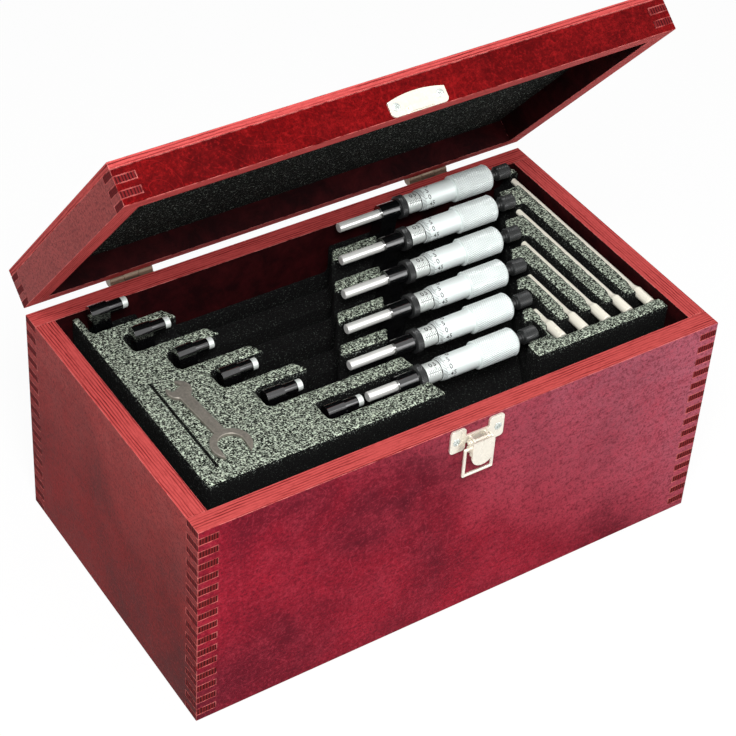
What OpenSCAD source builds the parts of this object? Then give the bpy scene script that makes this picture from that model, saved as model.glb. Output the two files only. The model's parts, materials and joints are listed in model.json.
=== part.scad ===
// Fitted wooden case with a set of six outside micrometers, their length standards and a spanner.
// Millimetres. X runs along the front, Y to the back, Z up. The origin is the middle of the underside.

/* [Case] */
// Width of the case
case_w = 310; // [300:1:330]
// Depth of the case, front to back
case_d = 178.5; // [176:0.5:200]
// Height of the base up to its rim
base_h = 131.5; // [125:0.5:150]
// Thickness of the plywood walls
wall = 11; // [9:0.5:12]
// Thickness of the bottom panel
floor_t = 5; // [3:0.5:8]
// Number of finger joints up a corner of the base
base_fingers = 31; // [15:2:41]

/* [Lid] */
// Outer height of the lid
lid_h = 21.3; // [20:0.1:30]
// Thickness of the lid's top panel
lid_top_t = 3.8; // [3:0.1:4.2]
// Number of finger joints up a corner of the lid
lid_fingers = 5; // [3:2:9]
// Angle at which the lid stands open
lid_open = 51; // [30:1:80]
// Thickness of the pad under the lid
lid_pad_t = 5; // [3:0.5:5]

/* [Foam] */
// Depth of the foam's top below the rim
foam_drop = 2; // [1:0.5:5]
// Gap between the left wall and the foam
foam_gap_left = 9; // [8:0.5:12]
// Gap between the front wall and the foam
foam_gap_front = 15; // [8:0.5:17]
// Depth of the two finger wells, which go through the tray
well_depth = 28; // [26:1:36]
// Width of the pocket under each micrometer
row_w = 14; // [13.6:0.1:14.6]
// Depth of those pockets
row_depth = 17; // [15:0.5:22]
// Clearance round a soft part
soft_gap = 0.3; // [0.2:0.1:0.5]

/* [Micrometers] */
// Distance between two neighbouring micrometers
mic_pitch = 22.7; // [21:0.1:22.8]
// Distance from the front wall to the first micrometer's axis
mic_front = 34.25; // [33:0.25:35]
// Depth of the first micrometer's axis below the rim
mic_drop = 5; // [5:0.5:8]
// Rise of the axis from one micrometer to the next
mic_climb = 1.9; // [0.5:0.1:1.9]
// Place of the first micrometer's boss, from the case's middle
boss_x = -16.5; // [-18:0.5:-12]
// Shift to the right from one micrometer to the next
mic_step = 12.6; // [12:0.1:13.4]
// Growth of the measuring range from one micrometer to the next
size_step = 25; // [24:0.1:25.4]
// Opening between anvil and spindle beyond each one's smallest size
rest_gap = 3.5; // [2:0.5:5]
// Room that the tray leaves for opening a spindle further
open_room = 2.5; // [1:0.5:7]
// Diameter of the spindle
spindle_d = 5.3; // [4.5:0.1:6]
// Bare spindle of the first micrometer
spindle_short = 17; // [16:0.5:24]
// Bare spindle of the others
spindle_long = 26; // [24:0.5:30]
// Diameter of the anvil
anvil_d = 5; // [4.5:0.1:5.8]
// Distance from the bow's inner edge to the anvil's face
anvil_l = 11; // [9:0.5:12]
// Thickness of the frame
frame_t = 8; // [6:0.5:9]
// Width of the frame's bow
bow_w = 10; // [8:0.5:12]
// Height of the bow's centre above the spindle
bow_rise = 4.5; // [3:0.5:5]
// Depth of the recess in each face of the bow
bow_recess = 1.5; // [0.5:0.1:2]
// Diameter of the frame's boss round the spindle
boss_d = 9.6; // [9:0.1:11]
// Length of that boss
boss_l = 11.6; // [10:0.1:12]
// Diameter of the lock ring
lock_d = 13; // [12:0.1:13.4]
// Width of the lock ring
lock_w = 4.5; // [3.5:0.1:5]
// Diameter of the graduated sleeve
sleeve_d = 10.8; // [10:0.1:11]
// Sleeve left bare by the thimble
sleeve_bare = 9; // [8:0.5:10]
// Diameter of the graduated part of the thimble
thimble_d = 12.6; // [12:0.1:13]
// Length of that part
thimble_plain = 22.6; // [20:0.1:24]
// Diameter of the knurled part of the thimble
grip_d = 15.2; // [14.5:0.1:15.4]
// Length of that part
grip_l = 25; // [22:0.5:26]
// Diameter of the ratchet knob
ratchet_d = 8.5; // [7:0.1:10]
// Length of that knob
ratchet_l = 8.7; // [7:0.1:10]
// Diameter of its neck
neck_d = 5; // [4:0.1:6]
// Length of that neck outside the thimble
neck_l = 4.9; // [4:0.1:6]
// Running clearance round every turning or sliding shaft
run = 0.05; // [0.02:0.01:0.1]

/* [Standards and spanner] */
// Distance between two standards
std_pitch = 14.6; // [13:0.1:14.8]
// Distance from the right wall to the longest standard
std_right = 4.6; // [4:0.1:6]
// Distance from the front wall to the near ends
std_front = 24.65; // [22:0.05:28]
// Diameter of a standard's shaft
std_d = 3.4; // [2.5:0.1:4]
// Diameter of its near end
std_head_d = 5.6; // [4:0.1:6]
// Length of its near end
std_head_l = 12; // [8:0.5:14]
// Depth of a standard's axis below the foam's top
std_sink = 4.5; // [4:0.5:8]
// Length of the spanner between its two jaws
spanner_l = 46; // [40:1:55]
// Thickness of the spanner
spanner_t = 2; // [1.5:0.1:3]

/* [Hinges and latch] */
// Distance of each hinge from the case's middle
hinge_x = 93.5; // [60:0.5:120]
// Length of a hinge
hinge_l = 25; // [20:0.5:40]
// Diameter of a knuckle
knuckle_d = 6; // [5:0.1:7]
// Diameter of a hinge pin
pin_d = 2.8; // [2:0.1:3]
// Distance of the hinge pin behind the back wall
hinge_off = 4; // [3.6:0.1:4.4]
// Thickness of the sheet metal of leaves and plates
sheet_t = 1.2; // [0.8:0.1:1.4]
// Place of the latch, from the case's middle
latch_x = 1.3; // [-20:0.1:20]
// Width of the latch plate and the keeper
latch_w = 32; // [30:1:40]
// Height of the latch plate
latch_h = 14.5; // [13:0.5:16]
// Width of the lever
lever_w = 13; // [11:0.5:14]
// Length of the lever below its pivot
lever_l = 14; // [12:0.5:15]
// Diameter of the bail's wire
bail_d = 1.8; // [1.4:0.1:2]
// Length of the bail
bail_l = 17; // [16:0.5:20]
// Diameter of a screw's shank
screw_d = 2.4; // [2:0.1:3]
// Length of a screw under its head
screw_l = 8; // [6:0.5:8]

/* [Hidden] */
mics = 6;
mic_parts = ["frame", "sleeve_and_anvil", "lock_ring", "spindle", "thimble", "ratchet"];
eps = 1; // Reach of a cut past the face that it opens
$fn = 48;

half_w = case_w / 2;
half_d = case_d / 2;
in_x = half_w - wall;
in_y = half_d - wall;
frame_h = lid_h - lid_top_t;
hinge_y = half_d + hinge_off;
hinge_z = base_h;
foam_top = base_h - foam_drop;
foam_split = foam_top - well_depth;
foam_left = -in_x + foam_gap_left;
foam_front = -in_y + foam_gap_front;
foam_right = in_x - soft_gap;
foam_back = in_y - soft_gap;
screw_hole = screw_d + 2 * run;
screw_head_d = 4.4;
screw_head_t = 0.7;
ply_red = [0.55, 0.12, 0.12];
ply_edge = [0.8, 0.35, 0.3];
nickel = [0.83, 0.82, 0.76];
black_foam = [0.12, 0.13, 0.12];
bright = [0.85, 0.85, 0.86];
enamel = [0.05, 0.05, 0.055];

// Places of the micrometers
function mic_y(k) = -in_y + mic_front + (k - 1) * mic_pitch;
function mic_z(k) = base_h - mic_drop + (k - 1) * mic_climb;
function mic_x(k) = boss_x + (k - 1) * mic_step;
function bare(k) = k == 1 ? spindle_short : spindle_long;
function anvil_face(k) = -bare(k) - rest_gap - (k - 1) * size_step;
function throat(k) = anvil_l - anvil_face(k);
function bow_r(k) = throat(k) / 2;
function bow_depth(k) = bow_r(k) + bow_w - bow_rise;
lock_x = boss_l;
sleeve_x = boss_l + lock_w;
thimble_x = sleeve_x + sleeve_bare;
grip_x = thimble_x + thimble_plain;
thimble_end = grip_x + grip_l;
sleeve_end = thimble_end - 12;
thimble_bore_end = thimble_end - 6;
spindle_end = thimble_end - 4.5;
ratchet_in = 4;
end_chamfer = 2;
ratchet_end = thimble_end + neck_l + ratchet_l;

// Places of the standards
function std_x(i) = in_x - std_right - (mics - 2 - i) * std_pitch;
function std_len(i) = (i + 1) * size_step;
std_y = -in_y + std_front;
std_z = foam_top - std_sink;

// Latch
latch_top = base_h - 1;
lever_drop = 8.5;
lever_pivot_z = latch_top - lever_drop;
bail_pivot_z = lever_pivot_z - 4;
latch_y = -half_d - sheet_t;
pivot_out = 2.6;
pivot_y = latch_y - pivot_out;
pivot_boss = 4;
pivot_d = 2;
ear_t = 1;
screw_in = 3.6;

module box(lo, hi) {
    translate(lo) cube(hi - lo);
}

// A bar along X between two places
module rod_x(x0, x1, d) {
    translate([x0, 0, 0]) rotate([0, 90, 0]) cylinder(h = x1 - x0, d = d);
}

// A bar along Y between two places
module rod_y(y0, y1, d) {
    translate([0, y0, 0]) rotate([-90, 0, 0]) cylinder(h = y1 - y0, d = d);
}

// Side panels with interlocking fingers at both ends
module long_panel(y0, z0, h, count) {
    step = h / count;
    difference() {
        box([-half_w, y0, z0], [half_w, y0 + wall, z0 + h]);
        for (i = [1 : 2 : count - 2], side = [-1, 1])
            translate([side * (half_w - wall / 2 + eps / 2), y0 + wall / 2, z0 + (i + 0.5) * step])
                cube([wall + eps, wall * 2, step], center = true);
    }
}

module short_panel(x0, z0, h, count) {
    step = h / count;
    box([x0, -in_y, z0], [x0 + wall, in_y, z0 + h]);
    for (i = [1 : 2 : count - 2], side = [0, 1])
        translate([x0, side == 0 ? -half_d : in_y - eps, z0 + i * step])
            cube([wall, wall + eps, step]);
}

// Screw holes drilled into a wall along Y
module wall_screw_holes(places, y0, y1) {
    for (p = places) translate([p[0], 0, p[1]]) rod_y(y0, y1, screw_hole);
}

hinge_screw_in = 4.5;
hinge_screw_x = hinge_l / 2 - hinge_screw_in;
hinge_screw_drop = 8.5;
base_hinge_screws = [for (s = [-1, 1], t = [-1, 1])
    [s * hinge_x + t * hinge_screw_x, hinge_z - hinge_screw_drop]];
lid_hinge_screws = [for (s = [-1, 1], t = [-1, 1])
    [s * hinge_x + t * hinge_screw_x, hinge_z + hinge_screw_drop]];
latch_screws = [for (s = [-1, 1]) [latch_x + s * (latch_w / 2 - screw_in), latch_top - latch_h / 2]];
keeper_screw_up = 5.2;
keeper_screws = [for (s = [-1, 1])
    [latch_x + s * (latch_w / 2 - screw_in), base_h + keeper_screw_up]];

module base_front() {
    color(ply_red) difference() {
        long_panel(-half_d, 0, base_h, base_fingers);
        wall_screw_holes(latch_screws, -half_d - eps, -half_d + screw_l);
    }
}

module base_back() {
    color(ply_red) difference() {
        long_panel(in_y, 0, base_h, base_fingers);
        wall_screw_holes(base_hinge_screws, half_d - screw_l, half_d + eps);
    }
}

module base_left() { color(ply_red) short_panel(-half_w, 0, base_h, base_fingers); }
module base_right() { color(ply_red) short_panel(in_x, 0, base_h, base_fingers); }
module base_floor() { color(ply_edge) box([-in_x, -in_y, 0], [in_x, in_y, floor_t]); }

// The two finger wells, as outlines seen from above
row_lean = mic_step / mic_pitch;
well_half_lean = 0.55;
well_apex = [mic_x(1) - 23, mic_y(1) + 13];
module frame_well_outline() {
    reach = in_y - well_apex[1];
    polygon([well_apex, [well_apex[0] + well_half_lean * reach, in_y],
        [well_apex[0] - well_half_lean * reach, in_y]]);
}

well_front = 11;
well_bend = 28;
well_left = [22, 16, 14];
module thimble_well_outline() {
    front_y = mic_y(1) - well_front;
    bend_y = mic_y(1) + well_bend;
    right = mic_x(1) + thimble_end + open_room + pocket_end - row_lean * (well_front - grip_d / 2);
    left = [for (x = well_left) mic_x(1) + x];
    polygon([[left[0], -in_y], [left[1], front_y], [left[2], bend_y],
        [left[2] + row_lean * (in_y - bend_y), in_y],
        [right + row_lean * (in_y - front_y), in_y],
        [right, front_y], [right, -in_y]]);
}

// The ribs between the two wells, behind the second micrometer, belong to the lower block
ribs_left = well_apex[0] + 5;
ribs_right = mic_x(1) + thimble_end;
module ribs_field() {
    translate([ribs_left, mic_y(2)]) square([ribs_right - ribs_left, foam_back - mic_y(2)]);
}

// Pocket under one micrometer, and the slot in which its frame hangs; the last pocket is open at the back
pocket_end = 1;
bow_clear = 1;
boss_clear = 3;
module mic_pocket(k) {
    left = -throat(k) - bow_w - bow_clear;
    above = base_h;
    back = k == mics ? in_y - mic_y(k) : row_w / 2;
    translate([mic_x(k), mic_y(k), mic_z(k)]) {
        box([left - pocket_end, -row_w / 2, -row_depth],
            [ratchet_end + open_room + pocket_end, back, above]);
        box([left, -frame_t / 2 - soft_gap, -bow_depth(k) - soft_gap],
            [bow_w + boss_clear, frame_t / 2 + soft_gap, above]);
    }
}

// Slot of one standard: narrow on the left, open on the right, and a rest under the rod
slot_l = 2.4;
slot_r = 4;
slot_end = 1.5;
head_clear = 1;
std_taper_l = 3;
module standard_slot(i) {
    translate([std_x(i), std_y, std_z]) {
        box([-slot_l, -eps, -std_d / 2 - soft_gap],
            [slot_r, std_len(i) + slot_end, std_sink + eps]);
        box([-slot_l - head_clear, -eps, -std_head_d / 2 - soft_gap],
            [slot_r, std_head_l + std_taper_l + head_clear, std_sink + eps]);
    }
}

// Finger notch under the near ends of the standards
notch_front = 1.8;
notch_w = 8.5;
notch_depth = 22;
module standards_notch() {
    box([std_x(0) - slot_l - slot_r, std_y - notch_front, foam_top - notch_depth],
        [foam_right + eps, std_y + notch_w, foam_top + eps]);
}

// Slit in the foam, left of the spanner
slit_in = 10;
slit_y = -20;
slit_l = 68;
slit_w = 1.6;
slit_depth = 25;
module foam_slit() {
    translate([foam_left + slit_in, slit_y, 0])
        box([0, -slit_l / 2, foam_top - slit_depth], [slit_w, slit_l / 2, foam_top + eps]);
}

// Lower block, which fills the base up to the tray's underside and carries the ribs
module foam_base() {
    color(black_foam) difference() {
        union() {
            box([foam_left, foam_front, floor_t], [foam_right, foam_back, foam_split]);
            translate([0, 0, foam_split - eps]) linear_extrude(well_depth + eps) difference() {
                ribs_field();
                frame_well_outline();
                thimble_well_outline();
            }
        }
        for (k = [1 : mics]) mic_pocket(k);
    }
}

// Tray on that block; the wells part it into a left and a right side
module foam_tray() {
    color(black_foam) difference() {
        box([foam_left, foam_front, foam_split], [foam_right, foam_back, foam_top]);
        translate([0, 0, foam_split - eps]) linear_extrude(well_depth + 2 * eps) {
            frame_well_outline();
            thimble_well_outline();
            ribs_field();
            translate([ribs_left, foam_back - eps]) square([ribs_right - ribs_left, 2 * eps]);
        }
        for (k = [1 : mics]) mic_pocket(k);
        for (i = [0 : mics - 2]) standard_slot(i);
        standards_notch();
        foam_slit();
    }
}

// One standard: a slim shaft with a stouter near end
module length_standards() {
    color(bright) for (i = [0 : mics - 2]) translate([std_x(i), std_y, std_z]) {
        rod_y(0, std_len(i), std_d);
        rod_y(0, std_head_l, std_head_d);
        translate([0, std_head_l, 0]) rotate([-90, 0, 0])
            cylinder(h = std_taper_l, d1 = std_head_d, d2 = std_d);
    }
}

// Flat spanner with an open jaw at one end and a hook jaw at the other
spanner_place = [foam_left + 23.5, foam_front + 19];
spanner_lean = 4;
shank_w = 6;
hook_d = 21;
hook_bore = 13.5;
hook_turn = -8;
hook_mouth = hook_bore;
jaw_d = 13;
jaw_turn = 20;
jaw_mouth = 6.8;
jaw_root = 1;
module spanner_outline() {
    difference() {
        union() {
            circle(d = hook_d);
            translate([-shank_w / 2, shank_w]) square([shank_w, spanner_l - shank_w]);
            translate([0, spanner_l]) circle(d = jaw_d);
        }
        circle(d = hook_bore);
        rotate(hook_turn) translate([-hook_mouth / 2, -hook_d]) square([hook_mouth, hook_d]);
        translate([0, spanner_l]) rotate(jaw_turn) translate([-jaw_mouth / 2, jaw_root])
            square([jaw_mouth, jaw_d]);
    }
}

spanner_gap = 0.1;
module adjusting_spanner() {
    color([0.45, 0.44, 0.42]) translate([spanner_place[0], spanner_place[1], foam_top + spanner_gap])
        rotate(spanner_lean) linear_extrude(spanner_t) spanner_outline();
}

// A hinge leaf with its knuckles; up is 1 on the lid and -1 on the base, spans are the knuckles' places
seam = 0.2;
leaf_h = 13;
leaf_gap = knuckle_d / 2 + 0.3;
module hinge_leaf(up, spans) {
    near = up > 0 ? seam : -leaf_h;
    far = up > 0 ? leaf_h : -seam;
    translate([0, 0, hinge_z]) difference() {
        union() {
            box([-hinge_l / 2, half_d, up > 0 ? leaf_gap : near],
                [hinge_l / 2, half_d + sheet_t, up > 0 ? far : -leaf_gap]);
            for (s = spans) {
                translate([0, hinge_y, 0]) rod_x(s[0], s[1], knuckle_d);
                box([s[0], half_d, near], [s[1], half_d + sheet_t, far]);
                translate([0, 0, up * (seam + sheet_t / 2) - sheet_t / 2])
                    box([s[0], half_d, 0], [s[1], hinge_y, sheet_t]);
            }
        }
        translate([0, hinge_y, 0]) rod_x(-hinge_l, hinge_l, pin_d + 2 * run);
    }
}

knuckle_half = hinge_l / 6;
knuckle_gap = 0.15;
module base_hinge_leaf() {
    difference() {
        hinge_leaf(-1, [[-hinge_l / 2, -knuckle_half - knuckle_gap],
            [knuckle_half + knuckle_gap, hinge_l / 2]]);
        for (t = [-1, 1]) translate([t * hinge_screw_x, 0, hinge_z - hinge_screw_drop])
            rod_y(half_d - eps, half_d + 2 * eps, screw_hole);
    }
}

module lid_hinge_leaf() {
    difference() {
        hinge_leaf(1, [[-knuckle_half, knuckle_half]]);
        for (t = [-1, 1]) translate([t * hinge_screw_x, 0, hinge_z + hinge_screw_drop])
            rod_y(half_d - eps, half_d + 2 * eps, screw_hole);
    }
}

module hinge_leaves_base() {
    color(nickel) for (s = [-1, 1]) translate([s * hinge_x, 0, 0]) base_hinge_leaf();
}

module hinge_pins() {
    color(bright) for (s = [-1, 1]) translate([s * hinge_x, hinge_y, hinge_z])
        rod_x(-hinge_l / 2, hinge_l / 2, pin_d);
}

// A screw through sheet metal, its head outside; out is -1 at the front and 1 at the back
module screw(p, face, out) {
    a = face + out * sheet_t;
    b = a + out * screw_head_t;
    c = a - out * screw_l;
    translate([p[0], 0, p[1]]) {
        rod_y(min(a, b), max(a, b), screw_head_d);
        rod_y(min(a, c), max(a, c), screw_d);
    }
}

module base_screws() {
    color(bright) {
        for (p = latch_screws) screw(p, -half_d, -1);
        for (p = base_hinge_screws) screw(p, half_d, 1);
    }
}

// Latch plate: two wings joined by a bar, with two ears that carry the lever
wing_w = 9;
wing_round = 2;
bar_z0 = latch_top - 10;
bar_z1 = latch_top - 5.5;
ear_in = 2.2;
ear_x = lever_w / 2 - ear_in;
module latch_plate() {
    bar_half = latch_w / 2 - wing_w / 2;
    color(nickel) translate([latch_x, 0, 0]) difference() {
        union() {
            for (s = [-1, 1]) translate([s * bar_half, -half_d, latch_top - latch_h / 2])
                rotate([90, 0, 0]) linear_extrude(sheet_t) offset(r = wing_round)
                    square([wing_w - 2 * wing_round, latch_h - 2 * wing_round], center = true);
            box([-bar_half, latch_y, bar_z0], [bar_half, -half_d, bar_z1]);
            for (s = [-1, 1]) translate([s * ear_x - ear_t / 2, 0, lever_pivot_z]) {
                box([0, pivot_y, -pivot_boss / 2], [ear_t, -half_d, pivot_boss / 2]);
                translate([0, pivot_y, 0]) rod_x(0, ear_t, pivot_boss);
            }
        }
        for (s = [-1, 1]) translate([s * (latch_w / 2 - screw_in), 0, latch_top - latch_h / 2])
            rod_y(latch_y - eps, -half_d + eps, screw_hole);
        translate([0, pivot_y, lever_pivot_z])
            rod_x(-ear_x - ear_t, ear_x + ear_t, pivot_d + 2 * run);
    }
}

// Lever: a channel that hangs over the ears, on its own pin, with a rounded tongue
lever_t = 1;
lever_gap = 0.6;
lever_y = pivot_y - pivot_boss / 2 - lever_gap - lever_t;
lever_top = 2;
rivet_out = 0.6;
flange_drop = 3;
flange_in = 1;
module latch_lever() {
    tongue_r = lever_w / 2;
    color(nickel) translate([latch_x, 0, 0]) difference() {
        union() {
            translate([0, lever_y + lever_t, lever_pivot_z]) rotate([90, 0, 0]) linear_extrude(lever_t) {
                translate([-tongue_r, tongue_r - lever_l])
                    square([lever_w, lever_l - tongue_r + lever_top]);
                translate([0, tongue_r - lever_l]) circle(r = tongue_r);
            }
            for (s = [-1, 1]) translate([s * (lever_w - lever_t) / 2 - lever_t / 2, 0, 0]) {
                box([0, lever_y, bail_pivot_z], [lever_t, pivot_y + flange_in / 2, lever_pivot_z]);
                translate([0, pivot_y, lever_pivot_z]) rod_x(0, lever_t, pivot_boss);
                translate([0, pivot_y, bail_pivot_z]) rod_x(0, lever_t, pivot_boss);
                box([0, lever_y, bail_pivot_z - flange_drop], [lever_t, pivot_y - flange_in, bail_pivot_z]);
            }
            translate([0, pivot_y, lever_pivot_z])
                rod_x(-lever_w / 2 - rivet_out, lever_w / 2 + rivet_out, pivot_d);
        }
        for (s = [-1, 1]) translate([s * (lever_w - lever_t) / 2, pivot_y, bail_pivot_z])
            rod_x(-lever_t, lever_t, bail_d + 2 * run);
    }
}

// Bail: a loop of wire whose inturned ends sit in the lever's sides
bail_out = 2;
module latch_bail() {
    half_w = lever_w / 2 + bail_out;
    end = bail_out + lever_t;
    color(bright) translate([latch_x, pivot_y, bail_pivot_z]) {
        for (s = [-1, 1]) translate([s * half_w, 0, 0]) {
            translate([0, 0, -bail_l]) cylinder(h = bail_l, d = bail_d);
            sphere(d = bail_d);
            translate([0, 0, -bail_l]) sphere(d = bail_d);
            rod_x(min(0, -s * end), max(0, -s * end), bail_d);
        }
        translate([0, 0, -bail_l]) rod_x(-half_w, half_w, bail_d);
    }
}

// Everything on the lid is drawn closed and then turned open about the hinge pin
module opened() {
    translate([0, hinge_y, hinge_z]) rotate([-lid_open, 0, 0]) translate([0, -hinge_y, -hinge_z])
        children();
}

module lid_front() {
    color(ply_red) opened() difference() {
        long_panel(-half_d, base_h, frame_h, lid_fingers);
        wall_screw_holes(keeper_screws, -half_d - eps, -half_d + screw_l);
    }
}

module lid_back() {
    color(ply_red) opened() difference() {
        long_panel(in_y, base_h, frame_h, lid_fingers);
        wall_screw_holes(lid_hinge_screws, half_d - screw_l, half_d + eps);
    }
}

module lid_left() { color(ply_red) opened() short_panel(-half_w, base_h, frame_h, lid_fingers); }
module lid_right() { color(ply_red) opened() short_panel(in_x, base_h, frame_h, lid_fingers); }
module lid_top() {
    color(ply_red) opened()
        box([-half_w, -half_d, base_h + frame_h], [half_w, half_d, base_h + lid_h]);
}

module lid_pad() {
    color(black_foam) opened()
        box([-in_x + soft_gap, -in_y + soft_gap, base_h + frame_h - lid_pad_t],
            [in_x - soft_gap, in_y - soft_gap, base_h + frame_h]);
}

module hinge_leaves_lid() {
    color(nickel) opened() for (s = [-1, 1]) translate([s * hinge_x, 0, 0]) lid_hinge_leaf();
}

// Keeper: a plate with an arched top and a lip that the bail hooks over
keeper_h = 10;
keeper_up = 0.4;
keeper_round = 2.5;
keeper_arch = 51;
lip_half = lever_w / 2;
lip_out = 2.2;
lip_h = 2.8;
lip_t = 1.2;
module keeper_plate() {
    color(nickel) opened() translate([latch_x, -half_d, base_h]) difference() {
        union() {
            translate([0, 0, keeper_up]) rotate([90, 0, 0]) linear_extrude(sheet_t) intersection() {
                translate([0, keeper_h / 2]) offset(r = keeper_round)
                    square([latch_w - 2 * keeper_round, keeper_h - 2 * keeper_round], center = true);
                translate([0, -keeper_arch]) circle(r = keeper_arch + keeper_h, $fn = 96);
            }
            translate([0, -sheet_t, 2 * keeper_up]) {
                box([-lip_half, -lip_out, 0], [lip_half, sheet_t, lip_t]);
                box([-lip_half, -lip_out, 0], [lip_half, lip_t - lip_out, lip_h]);
            }
        }
        for (s = [-1, 1]) translate([s * (latch_w / 2 - screw_in), 0, keeper_screw_up])
            rod_y(-sheet_t - eps, eps, screw_hole);
    }
}

module lid_screws() {
    color(bright) opened() {
        for (p = keeper_screws) screw(p, -half_d, -1);
        for (p = lid_hinge_screws) screw(p, half_d, 1);
    }
}

// Everything above a height, round a bow of this radius
module above_bow(r, z) {
    reach = 2 * r + bow_w;
    box([-reach, -frame_t, z], [reach, frame_t, reach]);
}

// One micrometer's own frame of reference: X along its spindle from the left end of its boss
module at_mic(k) {
    translate([mic_x(k), mic_y(k), mic_z(k)]) children();
}

lug_d = 8;
nose_d = 6.6;
anvil_in = 7;
tip_l = 3.2;
tip_d = anvil_d + 1;
bore_reach = 3;
function nose_end(k) = anvil_face(k) - tip_l;
bow_rim = 2.5;
recess_drop = 9;
module mic_frame(k) {
    r = bow_r(k);
    color(enamel) at_mic(k) difference() {
        union() {
            translate([-r, 0, bow_rise]) difference() {
                rod_y(-frame_t / 2, frame_t / 2, 2 * (r + bow_w), $fn = 96);
                rod_y(-frame_t, frame_t, 2 * r, $fn = 96);
                above_bow(r, -bow_rise);
                for (s = [-1, 1]) difference() {
                    translate([0, s * frame_t / 2, 0])
                        rod_y(-bow_recess, bow_recess, 2 * (r + bow_w - bow_rim), $fn = 96);
                    rod_y(-frame_t, frame_t, 2 * (r + bow_rim), $fn = 96);
                    above_bow(r, -bow_rise - recess_drop);
                }
            }
            rod_x(0, boss_l, boss_d);
            rod_x(-2 * r - bow_w, -2 * r, lug_d);
            rod_x(-2 * r - eps, nose_end(k), nose_d);
        }
        rod_x(-bore_reach, boss_l + eps, spindle_d + 2 * run);
        rod_x(-2 * r - anvil_in, nose_end(k) + eps, anvil_d + 2 * run);
    }
}

// Sleeve on the frame's boss, and the anvil in the far arm's nose
seat_d = boss_d - 1.2;
module mic_sleeve_and_anvil(k) {
    r = bow_r(k);
    color(bright) at_mic(k) {
        rod_x(-2 * r - anvil_in, nose_end(k) + eps, anvil_d);
        rod_x(nose_end(k), anvil_face(k), tip_d);
        difference() {
            union() {
                rod_x(boss_l, sleeve_x + eps, seat_d);
                rod_x(sleeve_x, sleeve_end, sleeve_d);
            }
            rod_x(boss_l - eps, sleeve_end + eps, spindle_d + 2 * run);
        }
    }
}

module mic_lock_ring(k) {
    color(enamel) at_mic(k) difference() {
        rod_x(lock_x + run, sleeve_x - run, lock_d);
        rod_x(lock_x - eps, sleeve_x + eps, seat_d + 2 * run);
    }
}

module mic_spindle(k) {
    color(bright) at_mic(k) rod_x(-bare(k), spindle_end, spindle_d);
}

// Thimble: a graduated front and a stouter knurled grip
module mic_thimble(k) {
    color(bright) at_mic(k) difference() {
        union() {
            rod_x(thimble_x, grip_x + eps, thimble_d);
            rod_x(grip_x, thimble_end - end_chamfer, grip_d);
            translate([thimble_end - end_chamfer, 0, 0]) rotate([0, 90, 0])
                cylinder(h = end_chamfer, d1 = grip_d, d2 = grip_d - 2 * end_chamfer);
        }
        rod_x(thimble_x - eps, thimble_bore_end, sleeve_d + 2 * run);
        rod_x(thimble_bore_end - eps, thimble_end + eps, spindle_d + 2 * run);
    }
}

module mic_ratchet(k) {
    color(enamel) at_mic(k) {
        rod_x(thimble_end - ratchet_in, ratchet_end - ratchet_l + eps, neck_d);
        rod_x(ratchet_end - ratchet_l, ratchet_end, ratchet_d);
    }
}

base_front();
base_back();
base_left();
base_right();
base_floor();
foam_base();
foam_tray();
hinge_leaves_base();
hinge_pins();
latch_plate();
base_screws();
lid_front();
lid_back();
lid_left();
lid_right();
lid_top();
lid_pad();
hinge_leaves_lid();
keeper_plate();
lid_screws();
latch_lever();
latch_bail();
length_standards();
adjusting_spanner();
for (k = [1 : mics]) {
    mic_frame(k);
    mic_sleeve_and_anvil(k);
    mic_lock_ring(k);
    mic_spindle(k);
    mic_thimble(k);
    mic_ratchet(k);
}
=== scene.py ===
"""Looks of the micrometer case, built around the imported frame."""
import json
import math

import bmesh
import bpy
import numpy as np
from mathutils import Matrix, Vector, noise


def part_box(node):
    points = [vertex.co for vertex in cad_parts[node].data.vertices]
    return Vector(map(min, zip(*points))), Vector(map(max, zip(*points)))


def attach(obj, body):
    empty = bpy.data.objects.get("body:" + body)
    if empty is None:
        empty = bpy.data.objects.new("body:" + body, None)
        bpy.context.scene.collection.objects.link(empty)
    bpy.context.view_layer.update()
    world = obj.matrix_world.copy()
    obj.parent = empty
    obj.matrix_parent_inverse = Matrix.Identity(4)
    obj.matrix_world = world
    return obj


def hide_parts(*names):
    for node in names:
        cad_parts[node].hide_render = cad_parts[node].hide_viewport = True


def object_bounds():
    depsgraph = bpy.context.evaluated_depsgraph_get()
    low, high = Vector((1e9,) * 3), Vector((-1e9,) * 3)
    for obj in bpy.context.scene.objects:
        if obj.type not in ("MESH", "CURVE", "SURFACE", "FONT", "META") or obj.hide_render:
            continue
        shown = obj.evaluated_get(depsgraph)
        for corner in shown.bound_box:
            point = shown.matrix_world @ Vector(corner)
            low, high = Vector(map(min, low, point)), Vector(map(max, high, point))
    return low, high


MM = 0.001
TAU = 2 * math.pi
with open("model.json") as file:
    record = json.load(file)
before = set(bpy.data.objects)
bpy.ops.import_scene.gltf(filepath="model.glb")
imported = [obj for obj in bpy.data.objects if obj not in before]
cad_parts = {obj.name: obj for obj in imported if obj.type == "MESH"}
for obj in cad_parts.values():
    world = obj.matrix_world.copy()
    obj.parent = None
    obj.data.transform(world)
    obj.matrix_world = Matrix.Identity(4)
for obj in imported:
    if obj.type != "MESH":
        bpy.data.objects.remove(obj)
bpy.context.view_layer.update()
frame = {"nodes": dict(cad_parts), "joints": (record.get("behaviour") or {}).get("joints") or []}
NODES = frame["nodes"]
JOINTS = {j["name"]: j for j in frame["joints"]}


# Camera, lights and stage

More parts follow.
